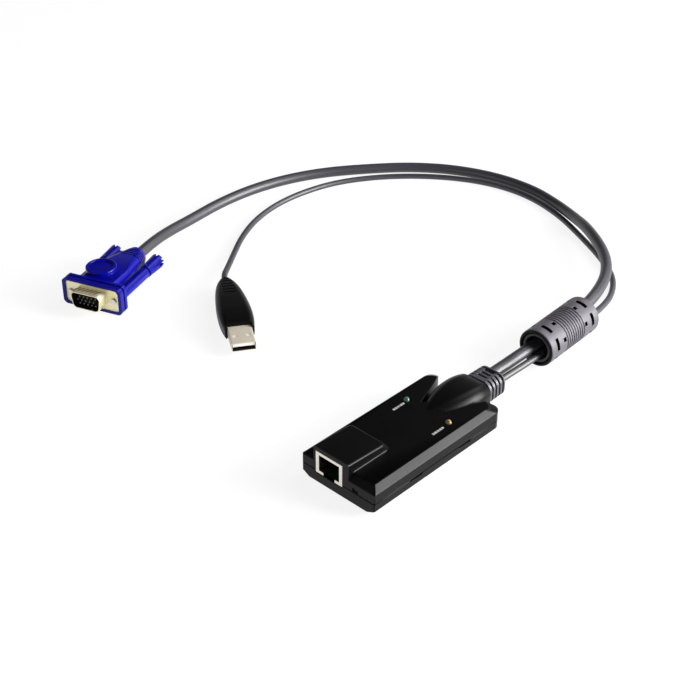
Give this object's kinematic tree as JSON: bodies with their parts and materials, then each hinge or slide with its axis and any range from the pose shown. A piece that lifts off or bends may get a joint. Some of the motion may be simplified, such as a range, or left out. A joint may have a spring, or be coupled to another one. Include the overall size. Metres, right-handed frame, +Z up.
{
  "type": "kvm dongle",
  "caption": "Small adapter housing with a modular network jack, ribbed rear boot, ferrite sleeve and two cables that end in a 15-pin video plug and a USB plug.",
  "frame": {"origin": "centre of the housing's bounding box in plan, at the surface it lies on", "axes": "+Y from the network jack to the cable exit, +X to the right seen from above with the jack towards the viewer, +Z up"},
  "size_m": [0.25, 0.2778, 0.0192],
  "materials": {
    "black_plastic": "fine-textured black ABS",
    "board_green": "solder-masked glass-epoxy board",
    "plated_steel": "nickel-plated sheet",
    "insulator_black": "moulded insulator",
    "gold_contact": "gold-plated contact",
    "chip_black": "moulded package",
    "can_aluminium": "drawn can",
    "header_white": "moulded nylon",
    "lead_grey": "inner jacket",
    "lamp_green": "tinted lens",
    "lamp_amber": "tinted lens",
    "tinned_wire": "tinned",
    "grey_rubber": "moulded soft PVC",
    "grey_plastic": "moulded sleeve",
    "ferrite_ceramic": "sintered ferrite",
    "cable_grey": "smooth PVC jacket",
    "gold_flange": "pale gold plating",
    "hood_blue": "moulded PVC",
    "screw_steel": "nickel plated",
    "knob_blue": "moulded grip",
    "black_rubber": "soft overmould"
  },
  "bodies": {
    "dongle": {"lower_cover": "black_plastic", "upper_cover": "black_plastic", "circuit_board": "board_green", "jack_shield": "plated_steel", "jack_body": "insulator_black", "jack_contacts": "gold_contact", "main_chip": "chip_black", "video_chip": "chip_black", "memory_chip": "chip_black", "network_transformer": "chip_black", "crystal": "plated_steel", "capacitors": "can_aluminium", "video_header": "header_white", "usb_header": "header_white", "video_leads": "lead_grey", "usb_leads": "lead_grey", "online_lamp": "lamp_green", "power_lamp": "lamp_amber", "lamp_leads": "tinned_wire", "cable_boot": "grey_rubber", "ferrite_sleeve": "grey_plastic", "ferrite_core": "ferrite_ceramic", "video_cable": "cable_grey", "usb_cable": "cable_grey", "video_shell": "gold_flange", "video_insert": "insulator_black", "video_pins": "gold_contact", "video_hood": "hood_blue", "usb_shell": "plated_steel", "usb_tongue": "header_white", "usb_contacts": "gold_contact", "usb_grip": "black_rubber"},
    "left_thumbscrew": {"left_screw": "screw_steel", "left_knob": "knob_blue"},
    "right_thumbscrew": {"right_screw": "screw_steel", "right_knob": "knob_blue"}
  },
  "joints": [
    {"name": "left_screw_turn", "type": "hinge", "parent": "dongle", "child": "left_thumbscrew", "pos_m": [-0.21082, -0.0083, 0.00745], "axis": [-0.3486, 0.9373, 0], "continuous": true},
    {"name": "right_screw_turn", "type": "hinge", "parent": "dongle", "child": "right_thumbscrew", "pos_m": [-0.1874, 0.00041, 0.00745], "axis": [-0.3486, 0.9373, 0], "continuous": true}
  ]
}
